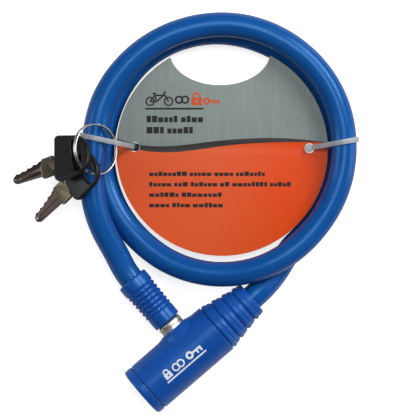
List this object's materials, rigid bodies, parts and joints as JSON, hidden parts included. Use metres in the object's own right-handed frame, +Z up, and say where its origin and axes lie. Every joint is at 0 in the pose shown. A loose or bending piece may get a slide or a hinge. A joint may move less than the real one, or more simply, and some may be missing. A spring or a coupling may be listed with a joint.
{
  "type": "cable lock",
  "caption": "Coiled plastic-coated cable lock with a keyed barrel, plug-in pin end, keys on a split ring and a round display card.",
  "frame": {"origin": "middle of the coiled cable, on the table the lock lies on", "axes": "+Z up from the table, +X to the right across the coil, +Y from the lock body towards the far side of the coil"},
  "size_m": [0.1435, 0.1657, 0.0364],
  "materials": {
    "blue_abs": "glossy moulded blue",
    "blue_pvc": "glossy coating, slightly translucent",
    "zinc": "cast, unpolished",
    "steel": "drawn steel",
    "brass": "stamped brass",
    "chrome": "bright plated",
    "spring_steel": "oiled spring wire",
    "dark_nickel": "dark nickel plated, worn",
    "black_plastic": "moulded, satin",
    "card_stock": "printed in two colours, satin",
    "clear_nylon": "translucent natural nylon"
  },
  "bodies": {
    "lock_body": {"lock_cover": "blue_abs", "end_cap": "blue_abs", "lock_housing": "zinc", "lock_end_ferrule": "steel", "ferrule_cross_pin": "steel", "cable_jacket": "blue_pvc", "steel_rope": "steel", "display_card": "card_stock", "cable_tie_left": "clear_nylon", "cable_tie_right": "clear_nylon"},
    "plug": {"plug": "brass", "wafer_tumblers": "brass", "wafer_springs": "spring_steel", "plug_clip": "spring_steel"},
    "bolt": {"locking_bolt": "steel"},
    "pin_end": {"locking_pin": "steel", "pin_collar": "chrome", "pin_end_crimp": "steel", "pin_sleeve": "blue_abs"},
    "ring": {"split_ring": "chrome"},
    "key_1": {"key_1_blade": "dark_nickel", "key_1_head": "black_plastic"},
    "key_2": {"key_2_blade": "dark_nickel", "key_2_head": "black_plastic"}
  },
  "joints": [
    {"name": "plug_turn", "type": "hinge", "parent": "lock_body", "child": "plug", "pos_m": [-0.0329, -0.1007, 0.011], "axis": [0.7581, 0.6521, 0], "range_deg": [-90, 0]},
    {"name": "bolt_slide", "type": "slide", "parent": "lock_body", "child": "bolt", "axis": [0, 0, 1], "range_m": [-0.00424, 0]},
    {"name": "pin_release", "type": "slide", "parent": "lock_body", "child": "pin_end", "axis": [-0.6521, 0.7581, 0], "range_m": [0, 0.017], "deforming": ["cable_jacket", "steel_rope"]},
    {"name": "ring_swing", "type": "hinge", "parent": "lock_body", "child": "ring", "pos_m": [-0.04336, 0.00129, 0.01974], "axis": [-0.1305, 0.9914, 0], "range_deg": [0, 30]},
    {"name": "key_1_turn", "type": "hinge", "parent": "ring", "child": "key_1", "pos_m": [-0.05797, -0.00496, 0.03227], "axis": [-0.575, 0.25, 0.779], "range_deg": [-6, 8]},
    {"name": "key_2_turn", "type": "hinge", "parent": "ring", "child": "key_2", "pos_m": [-0.0537, -0.00937, 0.02928], "axis": [-0.5736, 0, 0.8192], "range_deg": [-8, 8]}
  ],
  "couplings": [
    {"joint": "plug_turn", "follows": "bolt_slide", "rad_per_m": 370.2}
  ]
}
